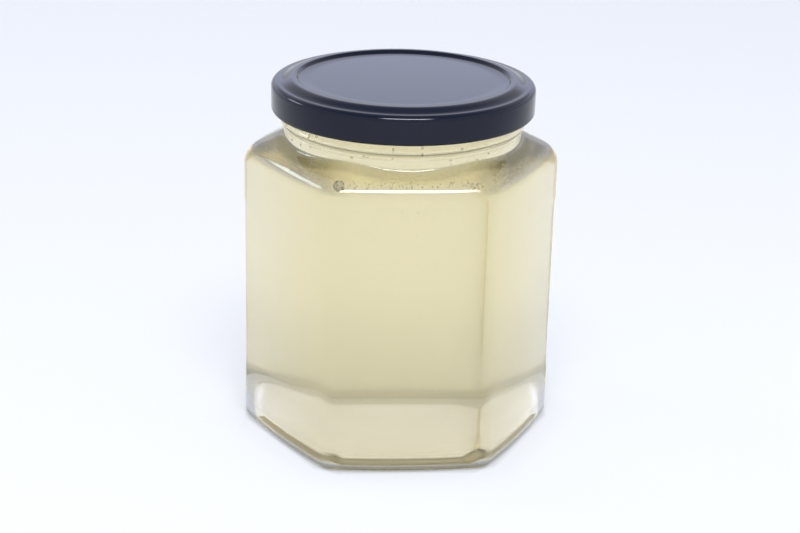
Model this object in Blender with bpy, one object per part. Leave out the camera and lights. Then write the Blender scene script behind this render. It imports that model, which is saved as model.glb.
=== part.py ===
"""A six-sided honey jar with a round twist-off lid, full of clear honey.

Metres, +Z up. The origin is the middle of the base, on the surface that the jar stands on,
and the front flat faces -Y.
"""
from math import atan2, cos, hypot, pi, radians, remainder, sin, sqrt, tan

import bmesh
import bpy

MM = 0.001
GAP = 0.3 * MM

# Body of the jar, measured on the proud bands at its heel and shoulder
SIDES = 6
ACROSS_FLATS = 80.0 * MM
SIDE_BOW_RADIUS = 180.0 * MM
SIDE_BEHIND = SIDE_BOW_RADIUS - ACROSS_FLATS / 2
CORNER_RADIUS = 5.2 * MM
SMALLEST_CORNER = 1.2 * MM
PANEL_RECESS = 0.22 * MM
PANEL_BOTTOM = 20.0 * MM
PANEL_TOP = 65.0 * MM
PANEL_LOWER_BLEND = 7.0 * MM
PANEL_UPPER_BLEND = 2.5 * MM

# Base
HEEL_RADIUS = 2.0 * MM
BEARING_WIDTH = 5.5 * MM
PUSH_UP = 1.1 * MM
PUSH_UP_SLOPE = 5.0 * MM

# Glass thickness
WALL = 2.6 * MM
BASE_THICKNESS = 3.4 * MM
BASE_DOME = 0.6 * MM
INNER_HEEL_RADIUS = 4.5 * MM
# The dome's height is stepped once between its middle and the heel, this far in
DOME_INSET = 20.0 * MM
DOME_THERE = 0.35 * MM

# Shoulder: a rounded edge with wider corners, and six slopes with a fillet to the round neck
SHOULDER_START = 77.6 * MM
SHOULDER_RADIUS = 6.1 * MM
SHOULDER_CORNER = 10.0 * MM
SHOULDER_SLOPE = radians(28.0)
NECK_FILLET = 2.5 * MM

# Neck and finish
NECK_RADIUS = 33.0 * MM
BORE_RADIUS = 29.9 * MM
BEAD_MIDDLE = 90.3 * MM
BEAD_HALF_HEIGHT = 1.7 * MM
BEAD_PROUD = 1.2 * MM
RIM_TOP = 100.2 * MM
RIM_ROUND = 0.9 * MM
THREAD_COUNT = 6
THREAD_MIDDLE = 95.9 * MM
THREAD_RISE = 1.0 * MM
THREAD_HALF_HEIGHT = 1.0 * MM
THREAD_PROUD = 1.4 * MM
THREAD_HALF_ANGLE = radians(21.0)

# Honey, filled to just above the lid's lower edge
HONEY_LEVEL = 94.2 * MM

# Lid
LID_RADIUS = 36.6 * MM
LID_BOTTOM = 92.8 * MM
LID_WALL = 0.7 * MM
LID_UNDERSIDE = 100.55 * MM
LID_SHOULDER_START = 99.25 * MM
LID_SHOULDER_RADIUS = 1.6 * MM
LEDGE_RADIUS = 34.4 * MM
CREST_OUTER = 31.9 * MM
CREST_INNER = 30.3 * MM
CREST_TOP = 101.95 * MM
PANEL_RADIUS = 28.9 * MM
PANEL_HEIGHT = 101.2 * MM
CURL_RADIUS = 0.85 * MM
CURL_TOP = LID_BOTTOM + 2.4 * CURL_RADIUS
LUG_COUNT = 6
LUG_REACH = 1.15 * MM
LUG_HALF_ANGLE = radians(12.0)

# Fineness of the meshes
SIDE_STEPS = 7
CORNER_STEPS = 4
CORNER_SPREAD = radians(2.8)
TURNED_STEPS = 66
ARC_STEPS = 4
SLOPE_STEPS = 6
THREAD_RINGS = 6
SHARP_ANGLE = radians(40.0)


def clear_scene():
    for thing in list(bpy.data.objects):
        bpy.data.objects.remove(thing, do_unlink=True)


def steps(start, end, count):
    """Even values from start to end, both included."""
    return [start + (end - start) * i / count for i in range(count + 1)]


def smooth(t):
    t = min(max(t, 0.0), 1.0)
    return t * t * (3.0 - 2.0 * t)


def ring_angles():
    """Where every ring of the glass and honey has its points: closest near and round the corners."""
    half = pi / SIDES
    side = half - CORNER_SPREAD
    angles = []
    for k in range(SIDES):
        facing = 2.0 * half * k - pi / 2
        for t in steps(-pi / 2, pi / 2, SIDE_STEPS)[:-1]:
            angles.append(facing + side * sin(t))
        for a in steps(side, 2.0 * half - side, CORNER_STEPS)[:-1]:
            angles.append(facing + a)
    return angles


def corner_centre(side_radius, corner):
    """How far the middle of a round corner lies from the axis, where it touches the bowed sides."""
    half = pi / SIDES
    return sqrt((side_radius - corner) ** 2 - (SIDE_BEHIND * sin(half)) ** 2) - SIDE_BEHIND * cos(half)


def outline_radius(angle, inset, corner):
    """The outline's distance from the axis: bowed sides moved in by inset, and round corners."""
    half = pi / SIDES
    off = abs(remainder(angle + pi / 2, 2.0 * half))
    side_radius = SIDE_BOW_RADIUS - inset
    out = corner_centre(side_radius, corner)
    turned = atan2(out * sin(half), out * cos(half) + SIDE_BEHIND)
    touch = atan2(side_radius * sin(turned), side_radius * cos(turned) - SIDE_BEHIND)
    if off < touch:
        return sqrt(side_radius ** 2 - (SIDE_BEHIND * sin(off)) ** 2) - SIDE_BEHIND * cos(off)
    past = half - off
    return out * cos(past) + sqrt(corner ** 2 - (out * sin(past)) ** 2)


def eased_max(first, second, width):
    """The larger of two values, with a round fillet where they are within width of each other."""
    near = max(width - abs(first - second), 0.0)
    return max(first, second) + near ** 2 / (4.0 * width)


def placed(radii, height):
    """A ring of points from the radius at each of the ring's angles."""
    return [(r * cos(a), r * sin(a), height) for r, a in zip(radii, ring_angles())]


def jar_ring(inset, height, corner=None):
    """One ring of the jar. Its corners shrink with the inset, unless their radius is given."""
    if corner is None:
        corner = max(CORNER_RADIUS - inset, SMALLEST_CORNER)
    return placed([outline_radius(a, inset, corner) for a in ring_angles()], height)


def round_ring(radius, height):
    """A ring of the neck."""
    return placed([radius] * len(ring_angles()), height)


def bump(angle, count, half_angle):
    """1 at the middle of each of count even places round the axis, fading to 0 at half_angle."""
    off = remainder(angle, 2.0 * pi / count)
    return smooth(2.0 * (1.0 - abs(off) / half_angle)), off


def thread_ring(height):
    """A ring through the glass lugs, each rising a little as it goes round."""
    radii = []
    for angle in ring_angles():
        window, off = bump(angle, THREAD_COUNT, THREAD_HALF_ANGLE)
        middle = THREAD_MIDDLE + THREAD_RISE * off / (2.0 * THREAD_HALF_ANGLE)
        across = 1.0 - ((height - middle) / THREAD_HALF_HEIGHT) ** 2
        radii.append(NECK_RADIUS + THREAD_PROUD * window * max(across, 0.0))
    return placed(radii, height)


def lid_ring(radius, height, lug=0.0):
    """A turned ring, drawn in by lug at the places of the lid's inward lugs."""
    ring = []
    for k in range(TURNED_STEPS):
        angle = 2.0 * pi * k / TURNED_STEPS
        window, _ = bump(angle, LUG_COUNT, LUG_HALF_ANGLE)
        r = radius - lug * window
        ring.append((r * cos(angle), r * sin(angle), height))
    return ring


def shoulder_rings(wall, neck):
    """Shoulder of the surface that lies wall inside the outer one, up to its round neck."""
    radius = SHOULDER_RADIUS - wall
    turn = pi / 2 - SHOULDER_SLOPE
    rings = []
    for a in steps(0.0, turn, ARC_STEPS):
        corner = CORNER_RADIUS + (SHOULDER_CORNER - CORNER_RADIUS) * a / turn - wall
        rings.append(jar_ring(wall + radius * (1.0 - cos(a)), SHOULDER_START + radius * sin(a), corner))
    # Six slopes rise on to the neck, first at the middle of each and last at their ridges
    corner = SHOULDER_CORNER - wall
    edge = wall + radius * (1.0 - cos(turn))
    edge_height = SHOULDER_START + radius * sin(turn)
    half = pi / SIDES
    ridge = neck - NECK_FILLET - corner + SIDE_BEHIND * cos(half)
    last = SIDE_BOW_RADIUS - corner - hypot(ridge, SIDE_BEHIND * sin(half))
    for inset in steps(edge, last, SLOPE_STEPS)[1:]:
        slope = [outline_radius(a, inset, corner) for a in ring_angles()]
        rings.append(placed([eased_max(r, neck, NECK_FILLET) for r in slope],
                            edge_height + (inset - edge) * tan(SHOULDER_SLOPE)))
    return rings


def inner_base_rings(wall, thickness):
    """Inside of the base, from near its middle out to the upright wall."""
    flat = wall + INNER_HEEL_RADIUS
    rings = [jar_ring(DOME_INSET, thickness + DOME_THERE)]
    for a in steps(0.0, pi / 2, ARC_STEPS):
        rings.append(jar_ring(flat - INNER_HEEL_RADIUS * sin(a),
                              thickness + INNER_HEEL_RADIUS * (1.0 - cos(a))))
    return rings


def loft(name, start, rings, end, material):
    """One closed solid through the rings, closed at both ends on the axis at two heights."""
    bm = bmesh.new()
    loops = [[bm.verts.new(point) for point in ring] for ring in rings]
    first = bm.verts.new((0.0, 0.0, start))
    last = bm.verts.new((0.0, 0.0, end))
    count = len(loops[0])
    for i in range(count):
        j = (i + 1) % count
        bm.faces.new((first, loops[0][j], loops[0][i]))
        bm.faces.new((last, loops[-1][i], loops[-1][j]))
        for below, above in zip(loops, loops[1:]):
            bm.faces.new((below[i], below[j], above[j], above[i]))
    mesh = bpy.data.meshes.new(name)
    bm.to_mesh(mesh)
    bm.free()
    mesh.shade_smooth()
    mesh.set_sharp_from_angle(angle=SHARP_ANGLE)
    mesh.materials.append(material)
    thing = bpy.data.objects.new(name, mesh)
    bpy.context.collection.objects.link(thing)
    return thing


def finish(name, color, roughness, metallic=0.0, transmission=0.0, ior=1.5, coat=0.0):
    """A Principled material with the part's colour and gloss."""
    material = bpy.data.materials.new(name)
    material.use_nodes = True
    shader = material.node_tree.nodes["Principled BSDF"]
    shader.inputs["Base Color"].default_value = (*color, 1.0)
    shader.inputs["Roughness"].default_value = roughness
    shader.inputs["Metallic"].default_value = metallic
    shader.inputs["Transmission Weight"].default_value = transmission
    shader.inputs["IOR"].default_value = ior
    shader.inputs["Coat Weight"].default_value = coat
    return material


def outside_of_body():
    """Outer surface of the glass from its push-up, round the heel, to the shoulder."""
    rings = [jar_ring(HEEL_RADIUS + BEARING_WIDTH + PUSH_UP_SLOPE, PUSH_UP)]
    rings.append(jar_ring(HEEL_RADIUS + BEARING_WIDTH, 0.0))
    for a in steps(0.0, pi / 2, ARC_STEPS - 1):
        rings.append(jar_ring(HEEL_RADIUS * (1.0 - sin(a)), HEEL_RADIUS * (1.0 - cos(a))))
    rings.append(jar_ring(0.0, PANEL_BOTTOM - PANEL_LOWER_BLEND))
    rings.append(jar_ring(PANEL_RECESS, PANEL_BOTTOM))
    rings.append(jar_ring(PANEL_RECESS, PANEL_TOP))
    rings.append(jar_ring(0.0, PANEL_TOP + PANEL_UPPER_BLEND))
    return rings


def outside_of_neck():
    """Bead, lugs and rim of the finish."""
    rings = []
    for a in steps(-pi / 2, pi / 2, ARC_STEPS):
        rings.append(round_ring(NECK_RADIUS + BEAD_PROUD * cos(a), BEAD_MIDDLE + BEAD_HALF_HEIGHT * sin(a)))
    low = THREAD_MIDDLE - THREAD_RISE / 2 - THREAD_HALF_HEIGHT
    high = THREAD_MIDDLE + THREAD_RISE / 2 + THREAD_HALF_HEIGHT
    for height in steps(low, high, THREAD_RINGS):
        rings.append(thread_ring(height))
    for a in steps(0.0, pi / 2, ARC_STEPS - 1):
        rings.append(round_ring(NECK_RADIUS - RIM_ROUND * (1.0 - cos(a)),
                                RIM_TOP - RIM_ROUND * (1.0 - sin(a))))
    return rings


def inside_of_glass():
    """Bore, inner shoulder, inner wall and inner base, from the rim down."""
    rings = []
    for a in steps(pi / 2, 0.0, ARC_STEPS - 1):
        rings.append(round_ring(BORE_RADIUS + RIM_ROUND * (1.0 - cos(a)),
                                RIM_TOP - RIM_ROUND * (1.0 - sin(a))))
    rings.extend(reversed(shoulder_rings(WALL, BORE_RADIUS)))
    rings.extend(reversed(inner_base_rings(WALL, BASE_THICKNESS)))
    return rings


def glass_jar():
    """The glass, one solid from the push-up under its base round to the inside of it."""
    rings = outside_of_body() + shoulder_rings(0.0, NECK_RADIUS) + outside_of_neck() + inside_of_glass()
    glass = finish("clear_glass", (0.97, 0.98, 0.97), 0.02, transmission=1.0, ior=1.52)
    return loft("glass_jar", PUSH_UP, rings, BASE_THICKNESS + BASE_DOME, glass)


def honey():
    """The honey, a gap inside the glass, up to its level in the neck."""
    wall = WALL + GAP
    rings = inner_base_rings(wall, BASE_THICKNESS + GAP)
    rings.extend(shoulder_rings(wall, BORE_RADIUS - GAP))
    rings.append(round_ring(BORE_RADIUS - GAP, HONEY_LEVEL))
    pale = finish("pale_honey", (0.93, 0.85, 0.55), 0.05, transmission=0.9, ior=1.49)
    return loft("honey", BASE_THICKNESS + BASE_DOME + GAP, rings, HONEY_LEVEL, pale)


def crest_rings():
    """Top of the lid inwards from its ledge: up over the raised ring and down to the panel."""
    ledge = LID_SHOULDER_START + LID_SHOULDER_RADIUS
    rings = []
    for t in steps(0.0, 1.0, ARC_STEPS):
        rings.append(lid_ring(LEDGE_RADIUS + (CREST_OUTER - LEDGE_RADIUS) * t,
                              ledge + (CREST_TOP - ledge) * smooth(t)))
    for t in steps(0.0, 1.0, ARC_STEPS - 1):
        rings.append(lid_ring(CREST_INNER + (PANEL_RADIUS - CREST_INNER) * t,
                              CREST_TOP + (PANEL_HEIGHT - CREST_TOP) * smooth(t)))
    return rings


def lid():
    """The metal lid: underside, skirt, the curl with its lugs, and the stepped top."""
    inner = LID_RADIUS - LID_WALL
    curl_middle = LID_RADIUS - CURL_RADIUS
    rings = [lid_ring(inner - LID_WALL, LID_UNDERSIDE)]
    rings.append(lid_ring(inner, LID_UNDERSIDE - LID_WALL))
    rings.append(lid_ring(inner, CURL_TOP))
    for a in steps(pi, 2.0 * pi, 2 * ARC_STEPS):
        inward = max(-cos(a), 0.0)
        rings.append(lid_ring(curl_middle + CURL_RADIUS * cos(a),
                              LID_BOTTOM + CURL_RADIUS * (1.0 + sin(a)), LUG_REACH * inward))
    for a in steps(0.0, pi / 2, ARC_STEPS):
        rings.append(lid_ring(LID_RADIUS - LID_SHOULDER_RADIUS * (1.0 - cos(a)),
                              LID_SHOULDER_START + LID_SHOULDER_RADIUS * sin(a)))
    rings.extend(crest_rings())
    black = finish("black_lacquer", (0.012, 0.013, 0.018), 0.12, coat=1.0)
    return loft("lid", LID_UNDERSIDE, rings, PANEL_HEIGHT, black)


clear_scene()
glass_jar()
honey()
lid()
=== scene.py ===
"""Looks of the six-sided honey jar: its glass, honey and lid take the place of the frame's solids."""
from math import atan2, cos, hypot, pi, radians, remainder, sin, sqrt, tan
from random import Random

import bmesh
import bpy
from mathutils import Matrix, Vector


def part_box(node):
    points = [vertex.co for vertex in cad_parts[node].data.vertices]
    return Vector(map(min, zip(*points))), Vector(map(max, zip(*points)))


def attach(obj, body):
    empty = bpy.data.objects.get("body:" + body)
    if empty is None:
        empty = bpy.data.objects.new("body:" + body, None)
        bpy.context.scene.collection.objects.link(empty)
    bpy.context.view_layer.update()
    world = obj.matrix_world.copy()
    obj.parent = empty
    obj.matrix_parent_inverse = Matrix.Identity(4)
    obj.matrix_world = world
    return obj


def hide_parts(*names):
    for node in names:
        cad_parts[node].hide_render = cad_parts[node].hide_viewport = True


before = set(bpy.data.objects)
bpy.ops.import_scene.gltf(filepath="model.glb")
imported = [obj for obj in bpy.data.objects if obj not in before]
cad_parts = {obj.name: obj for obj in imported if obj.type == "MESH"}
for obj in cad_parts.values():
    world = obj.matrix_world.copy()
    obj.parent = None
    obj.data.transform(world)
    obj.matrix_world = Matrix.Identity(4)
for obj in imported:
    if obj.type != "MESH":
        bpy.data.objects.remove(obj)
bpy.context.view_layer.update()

MM = 0.001
_, glass_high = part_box("glass_jar")
_, honey_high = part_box("honey")
lid_low, lid_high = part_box("lid")

# Camera, found from the lid's ellipses and the jar's edges. Lens and sensor are in millimetres
CAMERA_PLACE = (-39.78 * MM, -493.76 * MM, 233.73 * MM)
CAMERA_HEADING = radians(-4.631)
CAMERA_PITCH = radians(20.778)
CAMERA_ROLL = radians(1.396)
CAMERA_LENS = 83.11
SENSOR_WIDTH = 36.0
CAMERA_NEAREST = 0.01
CAMERA_FARTHEST = 40.0

# Body of the jar
SIDES = 6
ACROSS_FLATS = 80.0 * MM
SIDE_BOW_RADIUS = 180.0 * MM
SIDE_BEHIND = SIDE_BOW_RADIUS - ACROSS_FLATS / 2
CORNER_RADIUS = 5.2 * MM
SMALLEST_CORNER = 1.2 * MM
PANEL_RECESS = 0.22 * MM
PANEL_BOTTOM = 20.0 * MM
PANEL_TOP = 65.0 * MM
PANEL_LOWER_BLEND = 7.0 * MM
PANEL_UPPER_BLEND = 2.5 * MM

# Base
HEEL_RADIUS = 2.0 * MM
BEARING_WIDTH = 5.5 * MM
PUSH_UP = 1.1 * MM
PUSH_UP_SLOPE = 5.0 * MM

# Glass thickness
WALL = 2.6 * MM
BASE_THICKNESS = 3.4 * MM
BASE_DOME = 0.6 * MM
INNER_HEEL_RADIUS = 4.5 * MM

# Shoulder
SHOULDER_START = 77.6 * MM
SHOULDER_RADIUS = 6.1 * MM
SHOULDER_CORNER = 10.0 * MM
SHOULDER_SLOPE = radians(28.0)
NECK_FILLET = 1.4 * MM
NECK_FOOT = 87.7 * MM

# Neck and finish
NECK_RADIUS = 33.0 * MM
BORE_RADIUS = 29.9 * MM
SEAM_HEIGHT = 88.0 * MM
SEAM_HALF_HEIGHT = 0.16 * MM
SEAM_PROUD = 0.12 * MM
BEAD_MIDDLE = 90.3 * MM
BEAD_HALF_HEIGHT = 1.7 * MM
BEAD_PROUD = 1.2 * MM
BEAD_FULLNESS = 1.3
RIM_TOP = glass_high.z
RIM_ROUND = 0.9 * MM
THREAD_COUNT = 6
THREAD_MIDDLE = 95.9 * MM
THREAD_RISE = 1.0 * MM
THREAD_HALF_HEIGHT = 1.0 * MM
THREAD_PROUD = 1.4 * MM
THREAD_HALF_ANGLE = radians(21.0)

# Honey: its level, how far it reaches into the glass, and how far inside its surface the haze ends
HONEY_LEVEL = honey_high.z
HONEY_REACH = 0.4 * MM
FREE_EDGE = 0.1 * MM
HAZE_GAP = 0.15 * MM

# Bubbles. Two numbers are the least and the most, and a third is the commonest
BUBBLE_SEED = 7
BUBBLE_GAP = 0.08 * MM
BUBBLE_MODEL_RADIUS = 1.0 * MM
LARGE_BUBBLE = (-18.8 * MM, -33.0 * MM, 80.2 * MM)
LARGE_BUBBLE_RADIUS = 1.4 * MM

# Rows of bubbles that have risen against the shoulder's slopes, and a cluster at the front right
FRONT_ROW_COUNT = 66
OTHER_ROW_COUNT = 24
ROW_RADII = (0.08 * MM, 0.26 * MM, 0.11 * MM)
ROW_ACROSS = (-17.0 * MM, 15.0 * MM)
ROW_ALONG = (0.0, 3.4 * MM, 0.6 * MM)
CLUSTER_COUNT = 26
CLUSTER_RADII = (0.10 * MM, 0.30 * MM, 0.14 * MM)
CLUSTER_MIDDLE = 16.5 * MM
CLUSTER_SPREAD = 1.6 * MM
CLUSTER_END = 18.5 * MM
CLUSTER_ALONG = (0.0, 2.2 * MM)

# Specks behind the six sides, and bubbles round the neck
SPECK_COUNT = 30
SPECK_RADII = (0.09 * MM, 0.15 * MM)
SPECK_DEPTHS = (0.4 * MM, 6.0 * MM)
SPECK_ACROSS = (-14.0 * MM, 14.0 * MM)
SPECK_HEIGHTS = (40.0 * MM, 77.0 * MM)
NECK_BUBBLE_COUNT = 60
NECK_RADII = (0.18 * MM, 0.42 * MM)
NECK_DEPTHS = (0.0, 1.5 * MM)
NECK_HEIGHTS = (84.5 * MM, 90.0 * MM)

# Lid
LID_RADIUS = lid_high.x
LID_BOTTOM = lid_low.z
LID_SHEET = 0.45 * MM
LID_SHOULDER_START = 99.25 * MM
LID_SHOULDER_RADIUS = 1.6 * MM
LEDGE_RADIUS = 34.4 * MM
LEDGE_HEIGHT = LID_SHOULDER_START + LID_SHOULDER_RADIUS
CREST_OUTER = 30.9 * MM
CREST_INNER = 29.9 * MM
CREST_TOP = lid_high.z
PANEL_RADIUS = 28.9 * MM
PANEL_HEIGHT = 101.2 * MM
PANEL_DISC = 5.0 * MM
CURL_RADIUS = 0.85 * MM
CURL_RISE = 2.4 * CURL_RADIUS
LUG_COUNT = 6
LUG_REACH = 1.15 * MM
LUG_HALF_ANGLE = radians(12.0)

# Plain colours
WHITE = (1.0, 1.0, 1.0)
BLACK = (0.0, 0.0, 0.0)

# Clear glass: faint waves, light handling marks, and painted shade in the heel's rounded foot, where the
# jar meets the floor
GLASS_COLOUR = (0.985, 0.99, 0.985)
GLASS_IOR = 1.52
WAVE_SCALE = 70.0
WAVE_HEIGHT = 0.02 * MM
MARK_SCALE = 120.0
MARK_BAND = (0.60, 0.80)
MARK_ROUGHNESS = 0.03
HEEL_PAINTED_SHADE = (0.20, 0.185, 0.11)
HEEL_SHADE_FROM = 37.2 * MM
HEEL_SHADE_EASE = 1.2 * MM
HEEL_SHADE_TOP = (1.4 * MM, 3.6 * MM)

# Honey against air and against glass, the colour of the light that it lets through, and its haze
HONEY_IOR = 1.49
WETTED_IOR = 1.002
HONEY_KEEPS = (0.995, 0.83, 0.11)
HONEY_DENSITY = 9.0
HAZE_DENSITY = 27.0
HAZE_FORWARDNESS = 0.96

# Froth under the shoulder with painted shade over it: where it starts and ends, its spread from the
# front, and its band of painted shade by the neck
FROTH_AND_SHADE_FOOT = 78.6 * MM
FROTH_AND_SHADE_FOOT_EASE = 1.6 * MM
FROTH_AND_SHADE_TOP = 84.6 * MM
FROTH_AND_SHADE_TOP_EASE = 0.8 * MM
FROTH_AND_SHADE_NARROW = 14.0 * MM
FROTH_AND_SHADE_WIDE = 30.0 * MM
NECK_SHADE_REACH = 34.7 * MM
NECK_SHADE_EASE = 1.0 * MM
FROTH_AND_SHADE_AT_SIDES = 0.54
NECK_SHADE_SHARE = 0.26
FROTH_GRAIN_SCALE = 2600.0
FROTH_GRAIN_BAND = (0.3, 0.7)
FROTH_GRAIN_LEAST = 0.74
FROTH_GRAIN_MORE = 0.52
# Painted shade: dark grey over the froth at the sides, and olive by the neck
FROTH_AND_SHADE_GREY = (0.17, 0.165, 0.155)
NECK_SHADE_OLIVE = (0.15, 0.145, 0.055)

# Lacquer of the lid
LACQUER_DARK = (0.002, 0.004, 0.012)
LACQUER_LIGHT = (0.004, 0.006, 0.016)
LACQUER_IOR = 1.355
LACQUER_ROUGHNESS = 0.05
LACQUER_ROUGHER = 0.05
LACQUER_CLOUD_SCALE = 45.0
PEEL_SCALE = 900.0
PEEL_HEIGHT = 0.003 * MM

# Fineness of the meshes
SIDE_STEPS = 30
CORNER_STEPS = 12
CORNER_SPREAD = radians(2.8)
LID_POINTS = 216
ARC_STEPS = 12
SMALL_ARC_STEPS = 8
BLEND_STEPS = 14
SLOPE_STEPS = 24
SEAM_STEPS = 4
PANEL_STEPS = 6
START_RADIUS = 10.0 * MM
SMOOTH_ANGLE = radians(38.0)
BUBBLE_SEGMENTS = 8
BUBBLE_RINGS = 6
LARGE_BUBBLE_LEVEL = 4

# Light: a softbox above the front, a window behind to the left, and a pale studio round about
SOFTBOX_DISTANCE = 1.2
SOFTBOX_SIZE = (0.82, 0.32)
SOFTBOX_AZIMUTH = 0.0
SOFTBOX_ELEVATION = radians(57.0)
SOFTBOX_RADIANCE = 25.0
WINDOW_DISTANCE = 1.6
WINDOW_SIZE = (0.7, 0.3)
WINDOW_AZIMUTH = radians(-117.0)
WINDOW_ELEVATION = radians(28.0)
WINDOW_RADIANCE = 8.0
WINDOW_TINT = (0.85, 0.93, 1.0)
PANEL_CORE = 0.25
PANEL_EDGE = 0.5
SKY_HORIZON = (0.896, 0.93, 1.0)
SKY_GLOW = (1.20, 1.28, 1.65)
SKY_BACK = (0.79, 0.80, 0.89)
SKY_FRONT = (0.86, 0.89, 0.96)
SKY_TOP = (0.42, 0.46, 0.58)
HORIZON_BAND = (0.17, 0.23)
GLOW_BAND = (0.24, 0.42)
TOP_BAND = (0.55, 0.85)
FRONT_BAND = (-0.7, 0.5)

# Floor, which glows a little, and more beyond a metre or so
FLOOR_RADIUS = 9.0
FLOOR_POINTS = 96
FLOOR_DARK = (0.375, 0.375, 0.38)
FLOOR_LIGHT = (0.385, 0.385, 0.39)
FLOOR_GRAIN_SCALE = 400.0
FLOOR_GLOW = 0.535
FAR_FLOOR = (0.9, 2.7)
FAR_GLOW = (1.14, 1.18, 1.26)

# Shade where the jar meets the floor, measured out from the axis towards the flats
ROUNDED_REACH = 44.2 * MM
SHADE_OUTER = 39.8 * MM
SHADE_EASE = 0.9 * MM
SHADE_SPREAD = 12.0 * MM
SHADE_DEPTH = 0.16
SHADE_FAINT = 0.04


class Wire:
    """A node's output. Expressions on wires and numbers add Math nodes."""

    def __init__(self, nodes, socket):
        self.nodes = nodes
        self.socket = socket

    def math(self, operation, *others):
        values = dict(enumerate((self, *others)))
        return self.nodes.add("ShaderNodeMath", {"operation": operation}, values)

    def __add__(self, other):
        return self.math("ADD", other)

    __radd__ = __add__

    def __sub__(self, other):
        return self.math("SUBTRACT", other)

    def __rsub__(self, other):
        return self.nodes.add("ShaderNodeMath", {"operation": "SUBTRACT"}, {0: other, 1: self})

    def __mul__(self, other):
        return self.math("MULTIPLY", other)

    __rmul__ = __mul__

    def between(self, low, high):
        """0 below low, 1 above high, and smooth in between."""
        return self.nodes.add("ShaderNodeMapRange", {"interpolation_type": "SMOOTHSTEP"},
                              {"Value": self, "From Min": low, "From Max": high})


class Nodes:
    """The nodes of one material or world."""

    def __init__(self, tree):
        self.tree = tree
        tree.nodes.clear()

    def add(self, kind, settings=None, values=None, output=0):
        """One node: its settings first, then the values or links of its sockets."""
        node = self.tree.nodes.new(kind)
        for name, value in (settings or {}).items():
            setattr(node, name, value)
        for name, value in (values or {}).items():
            if isinstance(value, Wire):
                self.tree.links.new(value.socket, node.inputs[name])
            else:
                node.inputs[name].default_value = value
        return Wire(self, node.outputs[output]) if node.outputs else None

    def place(self):
        return self.add("ShaderNodeTexCoord", output="Object")

    def axes(self, vector):
        """The x, y and z of a vector."""
        split = self.add("ShaderNodeSeparateXYZ", None, {"Vector": vector})
        return [Wire(self, output) for output in split.socket.node.outputs]

    def noise(self, scale, detail):
        """Even noise from 0 to 1, with its features 1 / scale metres apart."""
        return self.add("ShaderNodeTexNoise", None,
                        {"Vector": self.place(), "Scale": scale, "Detail": detail})

    def colour(self, share, first, second):
        """A colour between two, by share. Each is three numbers or a wire."""
        ends = [end if isinstance(end, Wire) else (*end, 1.0) for end in (first, second)]
        return self.add("ShaderNodeMix", {"data_type": "RGBA"},
                        {"Factor": share, 6: ends[0], 7: ends[1]}, output=2)

    def bump(self, height, distance):
        return self.add("ShaderNodeBump", None,
                        {"Height": height, "Distance": distance, "Strength": 1.0})


def material(name):
    made = bpy.data.materials.new(name)
    made.use_nodes = True
    return made, Nodes(made.node_tree)


def clear_glass():
    """Outside and dry inside of the jar: faintly wavy moulded glass, with light handling marks, and
    painted shade in the heel.
    """
    made, nodes = material("clear_glass")
    waves = nodes.noise(WAVE_SCALE, 1.0)
    marks = nodes.noise(MARK_SCALE, 4.0).between(*MARK_BAND)
    _, _, height = nodes.axes(nodes.place())
    # Painted shade: the heel's foot is tinted dark where the jar meets the floor
    heel = reach_across(nodes).between(HEEL_SHADE_FROM, HEEL_SHADE_FROM + HEEL_SHADE_EASE)
    heel = heel * (1.0 - height.between(*HEEL_SHADE_TOP))
    surface = nodes.add("ShaderNodeBsdfPrincipled", None, {
        "Base Color": nodes.colour(heel, GLASS_COLOUR, HEEL_PAINTED_SHADE),
        "Roughness": marks * MARK_ROUGHNESS,
        "IOR": GLASS_IOR,
        "Transmission Weight": 1.0,
        "Normal": nodes.bump(waves, WAVE_HEIGHT),
    })
    nodes.add("ShaderNodeOutputMaterial", None, {"Surface": surface})
    return made


def clear_shader(nodes, ior):
    return nodes.add("ShaderNodeBsdfPrincipled", None, {
        "Base Color": (*WHITE, 1.0),
        "Roughness": 0.0,
        "IOR": ior,
        "Transmission Weight": 1.0,
    })


def wetted_glass():
    """Inside of the jar where honey lies on it: the two bend light nearly alike."""
    made, nodes = material("wetted_glass")
    nodes.add("ShaderNodeOutputMaterial", None, {"Surface": clear_shader(nodes, WETTED_IOR)})
    return made


def froth_and_shade(nodes):
    """Fine foam that has risen under the shoulder, thinner at the front, with painted shade over it and a
    band of painted shade by the neck: its share and its shader.
    """
    x, y, z = nodes.axes(nodes.place())
    reach = (x * x + y * y).math("SQRT")
    risen = z.between(FROTH_AND_SHADE_FOOT, FROTH_AND_SHADE_FOOT + FROTH_AND_SHADE_FOOT_EASE)
    sideways = x.math("ABSOLUTE").between(FROTH_AND_SHADE_NARROW, FROTH_AND_SHADE_WIDE)
    # Painted shade in a band round the foot of the neck, olive where the lid darkens the slope
    neck_shade = 1.0 - reach.between(NECK_SHADE_REACH - NECK_SHADE_EASE, NECK_SHADE_REACH + NECK_SHADE_EASE)
    in_neck = z.between(FROTH_AND_SHADE_TOP, FROTH_AND_SHADE_TOP + FROTH_AND_SHADE_TOP_EASE)
    grain = nodes.noise(FROTH_GRAIN_SCALE, 3.0).between(*FROTH_GRAIN_BAND)
    thickness = sideways * FROTH_AND_SHADE_AT_SIDES + neck_shade * NECK_SHADE_SHARE
    share = risen * (1.0 - in_neck) * thickness * (FROTH_GRAIN_LEAST + grain * FROTH_GRAIN_MORE)
    shader = nodes.add("ShaderNodeBsdfPrincipled", None, {
        "Base Color": nodes.colour(neck_shade, FROTH_AND_SHADE_GREY, NECK_SHADE_OLIVE),
        "Roughness": 0.9,
        "Specular IOR Level": 0.2,
    })
    return share, shader


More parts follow.
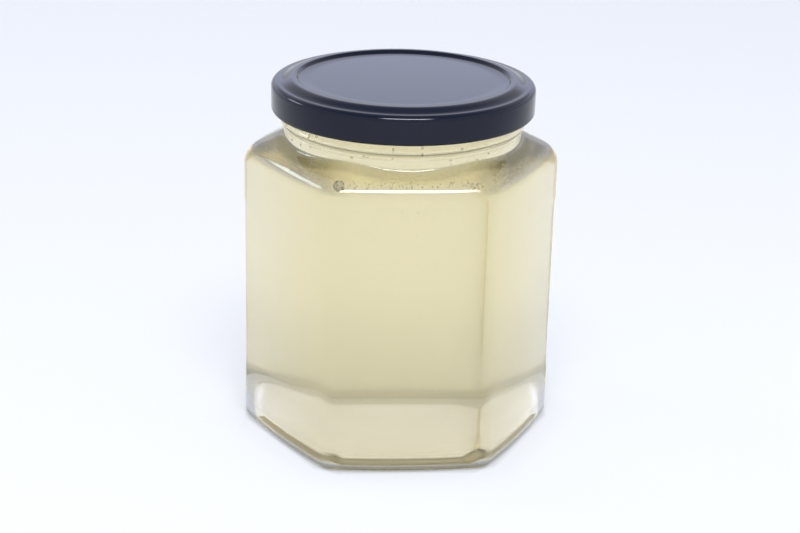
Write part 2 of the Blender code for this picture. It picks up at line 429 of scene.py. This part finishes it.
def pale_honey():
    """Honey bends light at its free surface and round its bubbles, and not where it lies on the glass."""
    made, nodes = material("pale_honey")
    bare = clear_shader(nodes, HONEY_IOR)
    against_glass = clear_shader(nodes, 1.0)
    mask = nodes.add("ShaderNodeAttribute", {"attribute_name": "bare"}, output="Fac")
    clear = nodes.add("ShaderNodeMixShader", None, {0: mask, 1: against_glass, 2: bare})
    # Froth under the shoulder, with painted shade over it and in a band by the neck
    share, froth_and_shade_shader = froth_and_shade(nodes)
    surface = nodes.add("ShaderNodeMixShader", None, {0: share, 1: clear, 2: froth_and_shade_shader})
    inside = nodes.add("ShaderNodeVolumeAbsorption", None, {
        "Color": (*HONEY_KEEPS, 1.0),
        "Density": HONEY_DENSITY,
    })
    nodes.add("ShaderNodeOutputMaterial", None, {"Surface": surface, "Volume": inside})
    return made


def fine_haze():
    """Very fine crystals and air in the honey, which only soften what is seen through it."""
    made, nodes = material("fine_haze")
    haze = nodes.add("ShaderNodeVolumeScatter", None, {
        "Color": (*WHITE, 1.0),
        "Density": HAZE_DENSITY,
        "Anisotropy": HAZE_FORWARDNESS,
    })
    open_surface = nodes.add("ShaderNodeBsdfTransparent", None, {"Color": (*WHITE, 1.0)})
    nodes.add("ShaderNodeOutputMaterial", None, {"Surface": open_surface, "Volume": haze})
    return made


def black_lacquer():
    """Stoved black gloss lacquer on sheet steel, with a fine orange peel."""
    made, nodes = material("black_lacquer")
    peel = nodes.noise(PEEL_SCALE, 2.0)
    cloud = nodes.noise(LACQUER_CLOUD_SCALE, 3.0)
    surface = nodes.add("ShaderNodeBsdfPrincipled", None, {
        "Base Color": nodes.colour(cloud, LACQUER_DARK, LACQUER_LIGHT),
        "Roughness": LACQUER_ROUGHNESS + cloud * LACQUER_ROUGHER,
        "IOR": LACQUER_IOR,
        "Normal": nodes.bump(peel, PEEL_HEIGHT),
    })
    nodes.add("ShaderNodeOutputMaterial", None, {"Surface": surface})
    return made


def reach_across(nodes):
    """How far out a point lies: on the jar's outline, about half the distance across its flats."""
    x, y, _ = nodes.axes(nodes.place())
    turns = [pi * k / 3 for k in range(3)]
    turned = [y * cos(turn) + x * sin(turn) for turn in turns]
    flats = [side.math("ABSOLUTE") for side in turned]
    round_part = (x * x + y * y).math("SQRT") * (ACROSS_FLATS / 2 / ROUNDED_REACH)
    return flats[0].math("MAXIMUM", flats[1]).math("MAXIMUM", flats[2]).math("MAXIMUM", round_part)


def kept_light(nodes):
    """How much light the floor keeps: less under the jar, and a little less close by."""
    reach = reach_across(nodes)
    past = reach.between(SHADE_OUTER - SHADE_EASE, SHADE_OUTER + SHADE_EASE)
    wide = reach.between(SHADE_OUTER, SHADE_OUTER + SHADE_SPREAD)
    return 1.0 - (1.0 - past) * SHADE_DEPTH - (1.0 - wide) * SHADE_FAINT


def pale_floor():
    made, nodes = material("pale_floor")
    grain = nodes.noise(FLOOR_GRAIN_SCALE, 3.0)
    kept = kept_light(nodes)
    far = reach_across(nodes).between(*FAR_FLOOR)
    glow = nodes.colour(far, SKY_HORIZON, FAR_GLOW)
    lit = nodes.colour(grain, FLOOR_DARK, FLOOR_LIGHT)
    surface = nodes.add("ShaderNodeBsdfPrincipled", None, {
        "Base Color": nodes.colour(kept, BLACK, lit),
        "Roughness": 0.9,
        "Specular IOR Level": 0.1,
        "Emission Color": nodes.colour(kept, BLACK, glow),
        "Emission Strength": FLOOR_GLOW,
    })
    nodes.add("ShaderNodeOutputMaterial", None, {"Surface": surface})
    return made


def steps(start, end, count):
    """Even values from start to end, both included."""
    return [start + (end - start) * i / count for i in range(count + 1)]


def smooth(t):
    t = min(max(t, 0.0), 1.0)
    return t * t * (3.0 - 2.0 * t)


def ring_angles():
    """Where every ring of the glass and honey has its points, from the middle of a corner."""
    half = pi / SIDES
    side = half - CORNER_SPREAD
    angles = []
    for k in range(SIDES):
        facing = 2.0 * half * k - pi / 2
        for t in steps(-pi / 2, pi / 2, SIDE_STEPS)[:-1]:
            angles.append(facing + side * sin(t))
        for a in steps(side, 2.0 * half - side, CORNER_STEPS)[:-1]:
            angles.append(facing + a)
    first = CORNER_STEPS // 2
    return angles[-first:] + angles[:-first]


def corner_centre(side_radius, corner):
    """How far the middle of a round corner lies from the axis, where it touches the bowed sides."""
    half = pi / SIDES
    return sqrt((side_radius - corner) ** 2 - (SIDE_BEHIND * sin(half)) ** 2) - SIDE_BEHIND * cos(half)


def outline_radius(angle, inset, corner):
    """The outline's distance from the axis: bowed sides moved in by inset, and round corners."""
    half = pi / SIDES
    off = abs(remainder(angle + pi / 2, 2.0 * half))
    side_radius = SIDE_BOW_RADIUS - inset
    out = corner_centre(side_radius, corner)
    turned = atan2(out * sin(half), out * cos(half) + SIDE_BEHIND)
    touch = atan2(side_radius * sin(turned), side_radius * cos(turned) - SIDE_BEHIND)
    if off < touch:
        return sqrt(side_radius ** 2 - (SIDE_BEHIND * sin(off)) ** 2) - SIDE_BEHIND * cos(off)
    past = half - off
    return out * cos(past) + sqrt(corner ** 2 - (out * sin(past)) ** 2)


def eased_max(first, second, width):
    """The larger of two values, with a round fillet where they are within width of each other."""
    near = max(width - abs(first - second), 0.0)
    return max(first, second) + near ** 2 / (4.0 * width)


def placed(radii, height):
    """A ring of points from the radius at each of the ring's angles."""
    return [(r * cos(a), r * sin(a), height) for r, a in zip(radii, ring_angles())]


def jar_ring(inset, height, corner=None):
    """One ring of the jar. Its corners shrink with the inset, unless their radius is given."""
    if corner is None:
        corner = max(CORNER_RADIUS - inset, SMALLEST_CORNER)
    return placed([outline_radius(a, inset, corner) for a in ring_angles()], height)


def round_ring(radius, height):
    return placed([radius] * len(ring_angles()), height)


def bump_at(angle, count, half_angle):
    """1 in the middle of count even places round the axis, 0 from half_angle on, and the angle off."""
    off = remainder(angle, 2.0 * pi / count)
    return smooth(2.0 * (1.0 - abs(off) / half_angle)), off


def thread_ring(height):
    """A ring through the glass lugs, each rising a little as it goes round."""
    radii = []
    for angle in ring_angles():
        window, off = bump_at(angle, THREAD_COUNT, THREAD_HALF_ANGLE)
        middle = THREAD_MIDDLE + THREAD_RISE * off / (2.0 * THREAD_HALF_ANGLE)
        across = 1.0 - ((height - middle) / THREAD_HALF_HEIGHT) ** 2
        radii.append(NECK_RADIUS + THREAD_PROUD * window * max(across, 0.0))
    return placed(radii, height)


def shoulder_rings(wall, neck):
    """Shoulder of the surface that lies wall inside the outer one, up to its round neck."""
    radius = SHOULDER_RADIUS - wall
    turn = pi / 2 - SHOULDER_SLOPE
    rings = []
    for a in steps(0.0, turn, ARC_STEPS):
        corner = CORNER_RADIUS + (SHOULDER_CORNER - CORNER_RADIUS) * a / turn - wall
        rings.append(jar_ring(wall + radius * (1.0 - cos(a)), SHOULDER_START + radius * sin(a), corner))
    # Six slopes rise on to the neck, first at the middle of each and last at their ridges
    corner = SHOULDER_CORNER - wall
    edge = wall + radius * (1.0 - cos(turn))
    edge_height = SHOULDER_START + radius * sin(turn)
    half = pi / SIDES
    ridge = neck - NECK_FILLET - corner + SIDE_BEHIND * cos(half)
    last = SIDE_BOW_RADIUS - corner - hypot(ridge, SIDE_BEHIND * sin(half))
    for inset in steps(edge, last, SLOPE_STEPS)[1:]:
        slope = [outline_radius(a, inset, corner) for a in ring_angles()]
        rings.append(placed([eased_max(r, neck, NECK_FILLET) for r in slope],
                            edge_height + (inset - edge) * tan(SHOULDER_SLOPE)))
    return rings


def inner_base_rings(wall, thickness):
    """Inside of the base, from near its middle out to the upright wall."""
    flat = wall + INNER_HEEL_RADIUS
    rings = []
    for t in steps(0.0, 1.0, BLEND_STEPS)[1:-1]:
        inset = ACROSS_FLATS / 2 * (1.0 - t) + flat * t
        rings.append(jar_ring(inset, thickness + BASE_DOME * (1.0 - t * t)))
    for a in steps(0.0, pi / 2, ARC_STEPS):
        rings.append(jar_ring(flat - INNER_HEEL_RADIUS * sin(a),
                              thickness + INNER_HEEL_RADIUS * (1.0 - cos(a))))
    return rings


def outside_of_body():
    """Outer surface of the glass from its push-up, round the heel, to the shoulder."""
    rings = []
    flat = HEEL_RADIUS + BEARING_WIDTH
    for t in steps(0.0, 1.0, SMALL_ARC_STEPS):
        rings.append(jar_ring(flat + PUSH_UP_SLOPE * (1.0 - t), PUSH_UP * (1.0 - smooth(t))))
    for a in steps(0.0, pi / 2, SMALL_ARC_STEPS):
        rings.append(jar_ring(HEEL_RADIUS * (1.0 - sin(a)), HEEL_RADIUS * (1.0 - cos(a))))
    for t in steps(0.0, 1.0, BLEND_STEPS):
        rings.append(jar_ring(PANEL_RECESS * smooth(t), PANEL_BOTTOM - PANEL_LOWER_BLEND * (1.0 - t)))
    for height in steps(PANEL_BOTTOM, PANEL_TOP, SMALL_ARC_STEPS)[1:-1]:
        rings.append(jar_ring(PANEL_RECESS, height))
    for t in steps(0.0, 1.0, SMALL_ARC_STEPS):
        rings.append(jar_ring(PANEL_RECESS * (1.0 - smooth(t)), PANEL_TOP + PANEL_UPPER_BLEND * t))
    return rings


def outside_of_neck():
    """Mould seam, bead, lugs and rim of the finish."""
    rings = []
    for t in steps(-1.0, 1.0, SEAM_STEPS):
        rings.append(round_ring(NECK_RADIUS + SEAM_PROUD * (1.0 - t * t),
                                SEAM_HEIGHT + SEAM_HALF_HEIGHT * t))
    for t in steps(-1.0, 1.0, 2 * ARC_STEPS):
        rings.append(round_ring(NECK_RADIUS + BEAD_PROUD * (1.0 - abs(t) ** BEAD_FULLNESS),
                                BEAD_MIDDLE + BEAD_HALF_HEIGHT * t))
    low = THREAD_MIDDLE - THREAD_RISE / 2 - THREAD_HALF_HEIGHT
    high = THREAD_MIDDLE + THREAD_RISE / 2 + THREAD_HALF_HEIGHT
    for height in steps(low, high, BLEND_STEPS):
        rings.append(thread_ring(height))
    for a in steps(0.0, pi / 2, SMALL_ARC_STEPS):
        rings.append(round_ring(NECK_RADIUS - RIM_ROUND * (1.0 - cos(a)),
                                RIM_TOP - RIM_ROUND * (1.0 - sin(a))))
    return rings


def inside_of_glass():
    """Bore, inner shoulder, inner wall and inner base, from the rim down."""
    rings = []
    for a in steps(pi / 2, 0.0, SMALL_ARC_STEPS):
        rings.append(round_ring(BORE_RADIUS + RIM_ROUND * (1.0 - cos(a)),
                                RIM_TOP - RIM_ROUND * (1.0 - sin(a))))
    rings.append(round_ring(BORE_RADIUS, HONEY_LEVEL))
    rings.extend(reversed(shoulder_rings(WALL, BORE_RADIUS)))
    rings.extend(reversed(inner_base_rings(WALL, BASE_THICKNESS)))
    return rings


def turn_of(point):
    """How far round the axis a point is from the corner that every ring starts at."""
    start = -pi / 2 - pi / SIDES
    tiny = 1e-4
    return (atan2(point.y, point.x) - start + tiny) % (2.0 * pi)


def set_ring(points):
    """Moves the selected ring of the mesh in edit mode onto the points, in their order."""
    mesh = bpy.context.object.data
    bm = bmesh.from_edit_mesh(mesh)
    ring = sorted((vert for vert in bm.verts if vert.select), key=lambda vert: turn_of(vert.co))
    for vert, point in zip(ring, points):
        vert.co = point
    bmesh.update_edit_mesh(mesh)


def select_rim():
    """Leaves only the outline of a disc selected, not its middle."""
    mesh = bpy.context.object.data
    bm = bmesh.from_edit_mesh(mesh)
    on_axis = 0.5 * MM
    for vert in bm.verts:
        vert.select = not vert.select or vert.co.xy.length > on_axis
    bm.select_flush_mode()
    bmesh.update_edit_mesh(mesh)


def started_shell(name, count, radius, height, turn=0.0):
    """A disc in edit mode, with its rim selected and ready to be extruded."""
    bpy.ops.object.select_all(action="DESELECT")
    bpy.ops.mesh.primitive_circle_add(vertices=count, radius=radius, fill_type="TRIFAN",
                                      location=(0.0, 0.0, height), rotation=(0.0, 0.0, turn))
    piece = bpy.context.object
    piece.name = piece.data.name = name
    bpy.ops.object.transform_apply(location=True, rotation=True, scale=True)
    bpy.ops.object.mode_set(mode="EDIT")
    bpy.ops.mesh.select_mode(type="VERT")
    bpy.ops.mesh.select_all(action="SELECT")
    select_rim()
    return piece


def finish_shell():
    """Turns the closed shell's faces outwards, leaves edit mode and smooths it."""
    bpy.ops.mesh.select_all(action="SELECT")
    bpy.ops.mesh.normals_make_consistent(inside=False)
    bpy.ops.object.mode_set(mode="OBJECT")
    bpy.ops.object.shade_smooth_by_angle(angle=SMOOTH_ANGLE)


def drawn_shell(name, rings, start, end):
    """A closed shell: a disc's rim is set on the first ring, and extruded from each ring to the next."""
    piece = started_shell(name, len(rings[0]), START_RADIUS, start, -pi / 2 - pi / SIDES)
    set_ring(rings[0])
    for ring in rings[1:]:
        bpy.ops.mesh.extrude_edges_move()
        set_ring(ring)
    bpy.ops.mesh.extrude_edges_move()
    bpy.ops.mesh.merge(type="COLLAPSE")
    bm = bmesh.from_edit_mesh(piece.data)
    for vert in bm.verts:
        if vert.select:
            vert.co = (0.0, 0.0, end)
    bmesh.update_edit_mesh(piece.data)
    finish_shell()
    return piece


def turned_shell(name, profile, count):
    """A closed shell round the axis: a disc's rim is extruded, lifted and resized along the profile."""
    radius, height = profile[0]
    piece = started_shell(name, count, radius, height)
    for next_radius, next_height in profile[1:]:
        lift = (0.0, 0.0, next_height - height)
        bpy.ops.mesh.extrude_edges_move(TRANSFORM_OT_translate={"value": lift})
        share = next_radius / radius
        bpy.ops.transform.resize(value=(share, share, 1.0))
        radius, height = next_radius, next_height
    bpy.ops.mesh.extrude_edges_move()
    bpy.ops.mesh.merge(type="COLLAPSE")
    finish_shell()
    return piece


def dress(piece, node, slot, *finishes):
    """Hands a finished piece to the frame in place of its node."""
    for finish in finishes:
        piece.data.materials.append(finish)
    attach(piece, "root")
    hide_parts(node)


def on_honey_side(face):
    """True for a face of the glass that honey lies on: it looks at the middle of the honey."""
    focus = Vector((0.0, 0.0, HONEY_LEVEL / 2))
    looks_in = face.normal.dot(face.center - focus) < 0.0
    in_neck = face.center.xy.length < (NECK_RADIUS + BORE_RADIUS) / 2
    return looks_in and face.center.z < HONEY_LEVEL and (face.center.z < NECK_FOOT or in_neck)


def make_jar():
    rings = outside_of_body() + shoulder_rings(0.0, NECK_RADIUS)
    rings.extend(outside_of_neck() + inside_of_glass())
    jar = drawn_shell("moulded_jar", rings, PUSH_UP, BASE_THICKNESS + BASE_DOME)
    for face in jar.data.polygons:
        face.material_index = 1 if on_honey_side(face) else 0
    dress(jar, "glass_jar", "glass", clear_glass(), wetted_glass())


def on_side(side, across, inset, height):
    """A point at a distance in from one of the flat sides. Side 0 is the front."""
    turn = 2.0 * pi * side / SIDES
    out = ACROSS_FLATS / 2 - inset
    x = across * cos(turn) + out * sin(turn)
    y = across * sin(turn) - out * cos(turn)
    return Vector((x, y, height))


def under_slope(side, across, along, radius):
    """Middle of a bubble that has risen against the shoulder's slope, along it from the curve's end."""
    curve = SHOULDER_RADIUS - WALL
    turn = pi / 2 - SHOULDER_SLOPE
    inset = SHOULDER_RADIUS - curve * cos(turn) + along * cos(SHOULDER_SLOPE)
    height = SHOULDER_START + curve * sin(turn) + along * sin(SHOULDER_SLOPE)
    return on_side(side, across, inset, height - (radius + BUBBLE_GAP) / cos(SHOULDER_SLOPE))


def bubble_places(chance):
    """Middle and radius of every small bubble."""
    places = []
    for side in range(SIDES):
        count = FRONT_ROW_COUNT if side == 0 else OTHER_ROW_COUNT
        for _ in range(count):
            radius = chance.triangular(*ROW_RADII)
            across = chance.uniform(*ROW_ACROSS)
            along = chance.triangular(*ROW_ALONG)
            places.append((under_slope(side, across, along, radius), radius))
        for _ in range(SPECK_COUNT):
            radius = chance.uniform(*SPECK_RADII)
            inset = WALL + chance.uniform(*SPECK_DEPTHS)
            across = chance.uniform(*SPECK_ACROSS)
            height = chance.uniform(*SPECK_HEIGHTS)
            places.append((on_side(side, across, inset, height), radius))
    for _ in range(CLUSTER_COUNT):
        radius = chance.triangular(*CLUSTER_RADII)
        across = min(chance.gauss(CLUSTER_MIDDLE, CLUSTER_SPREAD), CLUSTER_END)
        along = chance.uniform(*CLUSTER_ALONG)
        places.append((under_slope(0, across, along, radius), radius))
    for _ in range(NECK_BUBBLE_COUNT):
        radius = chance.uniform(*NECK_RADII)
        turn = chance.uniform(0.0, 2.0 * pi)
        out = BORE_RADIUS - radius - BUBBLE_GAP - chance.uniform(*NECK_DEPTHS)
        height = chance.uniform(*NECK_HEIGHTS)
        places.append((Vector((out * sin(turn), -out * cos(turn), height)), radius))
    return places


def turn_inwards():
    """Turns the faces of the bubble that was just made to the air in it."""
    bpy.ops.object.mode_set(mode="EDIT")
    bpy.ops.mesh.select_all(action="SELECT")
    bpy.ops.mesh.normals_make_consistent(inside=True)
    bpy.ops.object.mode_set(mode="OBJECT")
    bpy.ops.object.shade_smooth()


def make_bubbles():
    """Every bubble as an object of its own, each small one a copy of the first."""
    bpy.ops.object.select_all(action="DESELECT")
    bpy.ops.mesh.primitive_ico_sphere_add(subdivisions=LARGE_BUBBLE_LEVEL, radius=LARGE_BUBBLE_RADIUS,
                                          location=(0.0, 0.0, 0.0))
    large = bpy.context.object
    large.location = LARGE_BUBBLE
    turn_inwards()
    bpy.ops.object.select_all(action="DESELECT")
    bpy.ops.mesh.primitive_uv_sphere_add(segments=BUBBLE_SEGMENTS, ring_count=BUBBLE_RINGS,
                                         radius=BUBBLE_MODEL_RADIUS, location=(0.0, 0.0, 0.0))
    first = bpy.context.object
    turn_inwards()
    bubbles = [large, first]
    places = bubble_places(Random(BUBBLE_SEED))
    for _ in places[1:]:
        copy = first.copy()
        copy.data = first.data.copy()
        bpy.context.collection.objects.link(copy)
        bubbles.append(copy)
    for bubble, (place, radius) in zip(bubbles[1:], places):
        bubble.location = place
        bubble.scale = [radius / BUBBLE_MODEL_RADIUS] * 3
    bpy.context.view_layer.update()
    return bubbles


def is_free(point):
    """True on the honey's level inside the neck, where air lies on it."""
    on_level = point.z > HONEY_LEVEL - FREE_EDGE / 10
    return on_level and point.xy.length < BORE_RADIUS - FREE_EDGE / 2


def make_honey():
    """The honey with its bubbles. The attribute "bare" is 1 where the honey meets air."""
    wall = WALL - HONEY_REACH
    rings = inner_base_rings(wall, BASE_THICKNESS - HONEY_REACH)
    rings.extend(shoulder_rings(wall, BORE_RADIUS + HONEY_REACH))
    rings.append(round_ring(BORE_RADIUS + HONEY_REACH, HONEY_LEVEL))
    rings.append(round_ring(BORE_RADIUS, HONEY_LEVEL))
    for t in steps(1.0, 0.0, SMALL_ARC_STEPS)[:-1]:
        rings.append(round_ring((BORE_RADIUS - FREE_EDGE) * t, HONEY_LEVEL))
    honey = drawn_shell("clear_honey", rings, BASE_THICKNESS + BASE_DOME - HONEY_REACH, HONEY_LEVEL)
    shell_count = len(honey.data.vertices)
    bubbles = make_bubbles()
    bpy.ops.object.select_all(action="DESELECT")
    for bubble in bubbles:
        bubble.select_set(True)
    honey.select_set(True)
    bpy.context.view_layer.objects.active = honey
    bpy.ops.object.join()
    bare = honey.data.attributes.new("bare", "FLOAT", "POINT")
    for index, (vert, value) in enumerate(zip(honey.data.vertices, bare.data)):
        value.value = 1.0 if is_free(vert.co) or index >= shell_count else 0.0
    dress(honey, "honey", "honey", pale_honey())


def make_haze():
    """The haze fills the honey to just inside its surface."""
    wall = WALL + HAZE_GAP
    rings = inner_base_rings(wall, BASE_THICKNESS + HAZE_GAP)
    rings.extend(shoulder_rings(wall, BORE_RADIUS - HAZE_GAP))
    level = HONEY_LEVEL - HAZE_GAP
    rings.append(round_ring(BORE_RADIUS - HAZE_GAP, level))
    haze = drawn_shell("haze_in_honey", rings, BASE_THICKNESS + BASE_DOME + HAZE_GAP, level)
    haze.data.materials.append(fine_haze())
    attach(haze, "root")


def lid_profile():
    """Outside of the lid from the middle of its panel, round the curl, and up the inside."""
    profile = []
    for t in steps(0.0, 1.0, PANEL_STEPS):
        profile.append((PANEL_DISC + (PANEL_RADIUS - PANEL_DISC) * t, PANEL_HEIGHT))
    for t in steps(0.0, 1.0, ARC_STEPS)[1:]:
        profile.append((PANEL_RADIUS + (CREST_INNER - PANEL_RADIUS) * t,
                        PANEL_HEIGHT + (CREST_TOP - PANEL_HEIGHT) * smooth(t)))
    for t in steps(0.0, 1.0, ARC_STEPS):
        profile.append((CREST_OUTER + (LEDGE_RADIUS - CREST_OUTER) * t,
                        CREST_TOP + (LEDGE_HEIGHT - CREST_TOP) * smooth(t)))
    for a in steps(pi / 2, 0.0, ARC_STEPS):
        profile.append((LID_RADIUS - LID_SHOULDER_RADIUS * (1.0 - cos(a)),
                        LID_SHOULDER_START + LID_SHOULDER_RADIUS * sin(a)))
    curl_middle = LID_RADIUS - CURL_RADIUS
    for a in steps(0.0, -pi, 2 * SMALL_ARC_STEPS):
        profile.append((curl_middle + CURL_RADIUS * cos(a), LID_BOTTOM + CURL_RADIUS * (1.0 + sin(a))))
    profile.append((LID_RADIUS - LID_SHEET, LID_BOTTOM + CURL_RISE))
    profile.append((LID_RADIUS - LID_SHEET, LID_SHOULDER_START))
    profile.append((LEDGE_RADIUS - LID_SHEET, LEDGE_HEIGHT - LID_SHEET))
    profile.append((PANEL_RADIUS, PANEL_HEIGHT - LID_SHEET))
    profile.append((PANEL_DISC, PANEL_HEIGHT - LID_SHEET))
    return profile


def make_lid():
    """The lid, with its curl drawn inwards at the lugs."""
    lid = turned_shell("twist_off_lid", lid_profile(), LID_POINTS)
    for vert in lid.data.vertices:
        low = vert.co.z < LID_BOTTOM + 2.0 * CURL_RADIUS
        inward = (LID_RADIUS - CURL_RADIUS - vert.co.xy.length) / CURL_RADIUS
        if low and inward > 0.0:
            window, _ = bump_at(atan2(vert.co.y, vert.co.x), LUG_COUNT, LUG_HALF_ANGLE)
            vert.co.xy *= 1.0 - LUG_REACH * inward * window / vert.co.xy.length
    dress(lid, "lid", "lacquer", black_lacquer())


def make_floor():
    bpy.ops.object.select_all(action="DESELECT")
    bpy.ops.mesh.primitive_circle_add(vertices=FLOOR_POINTS, radius=FLOOR_RADIUS, fill_type="NGON")
    floor = bpy.context.object
    floor.name = "floor"
    floor.data.materials.append(pale_floor())


def outward(azimuth, elevation):
    """Unit vector from the jar: azimuth 0 is towards the front, and positive to the right."""
    return Vector((sin(azimuth) * cos(elevation), -cos(azimuth) * cos(elevation), sin(elevation)))


def make_panel(name, azimuth, elevation, distance, size, radiance, tint):
    """A glowing rectangle that faces the jar and fades towards its edges."""
    away = outward(azimuth, elevation)
    bpy.ops.object.select_all(action="DESELECT")
    bpy.ops.mesh.primitive_plane_add(size=1.0, location=away * distance,
                                     rotation=away.to_track_quat("Z", "Y").to_euler())
    panel = bpy.context.object
    panel.name = name
    panel.scale = (*size, 1.0)
    made, nodes = material(name)
    across, along, _ = nodes.axes(nodes.place())
    fades = [1.0 - side.math("ABSOLUTE").between(PANEL_CORE, PANEL_EDGE) for side in (across, along)]
    glow = nodes.add("ShaderNodeEmission", None, {
        "Color": (*tint, 1.0),
        "Strength": fades[0] * fades[1] * radiance,
    })
    nodes.add("ShaderNodeOutputMaterial", None, {"Surface": glow})
    panel.data.materials.append(made)


def make_studio():
    """Pale walls with a bluish glow low behind, darkest overhead, over an even horizon."""
    world = bpy.data.worlds.new("studio")
    world.use_nodes = True
    bpy.context.scene.world = world
    nodes = Nodes(world.node_tree)
    way = nodes.add("ShaderNodeTexCoord", output="Generated")
    _, depth, height = nodes.axes(way)
    back = nodes.colour(height.between(*GLOW_BAND), SKY_GLOW, SKY_BACK)
    walls = nodes.colour(depth.between(*FRONT_BAND), SKY_FRONT, back)
    inside = nodes.colour(height.between(*TOP_BAND), walls, SKY_TOP)
    mixed = nodes.colour(height.between(*HORIZON_BAND), SKY_HORIZON, inside)
    light = nodes.add("ShaderNodeBackground", None, {"Color": mixed, "Strength": 1.0})
    nodes.add("ShaderNodeOutputWorld", None, {"Surface": light})


def make_camera():
    data = bpy.data.cameras.new("camera")
    data.lens = CAMERA_LENS
    data.sensor_width = SENSOR_WIDTH
    data.clip_start = CAMERA_NEAREST
    data.clip_end = CAMERA_FARTHEST
    camera = bpy.data.objects.new("camera", data)
    bpy.context.collection.objects.link(camera)
    turned = (Matrix.Rotation(CAMERA_HEADING, 4, "Z") @ Matrix.Rotation(pi / 2 - CAMERA_PITCH, 4, "X")
              @ Matrix.Rotation(CAMERA_ROLL, 4, "Z"))
    camera.matrix_world = Matrix.Translation(CAMERA_PLACE) @ turned
    bpy.context.scene.camera = camera


def set_rendering():
    scene = bpy.context.scene
    scene.view_settings.view_transform = "Standard"
    scene.cycles.use_denoising = True
    scene.cycles.max_bounces = 32
    scene.cycles.transmission_bounces = 32
    scene.cycles.glossy_bounces = 12
    scene.cycles.diffuse_bounces = 6
    scene.cycles.caustics_reflective = True
    scene.cycles.caustics_refractive = True
    scene.cycles.volume_bounces = 8


make_camera()
make_studio()
make_floor()
make_panel("softbox", SOFTBOX_AZIMUTH, SOFTBOX_ELEVATION, SOFTBOX_DISTANCE, SOFTBOX_SIZE,
           SOFTBOX_RADIANCE, WHITE)
make_panel("window", WINDOW_AZIMUTH, WINDOW_ELEVATION, WINDOW_DISTANCE, WINDOW_SIZE,
           WINDOW_RADIANCE, WINDOW_TINT)
make_jar()
make_honey()
make_haze()
make_lid()
set_rendering()
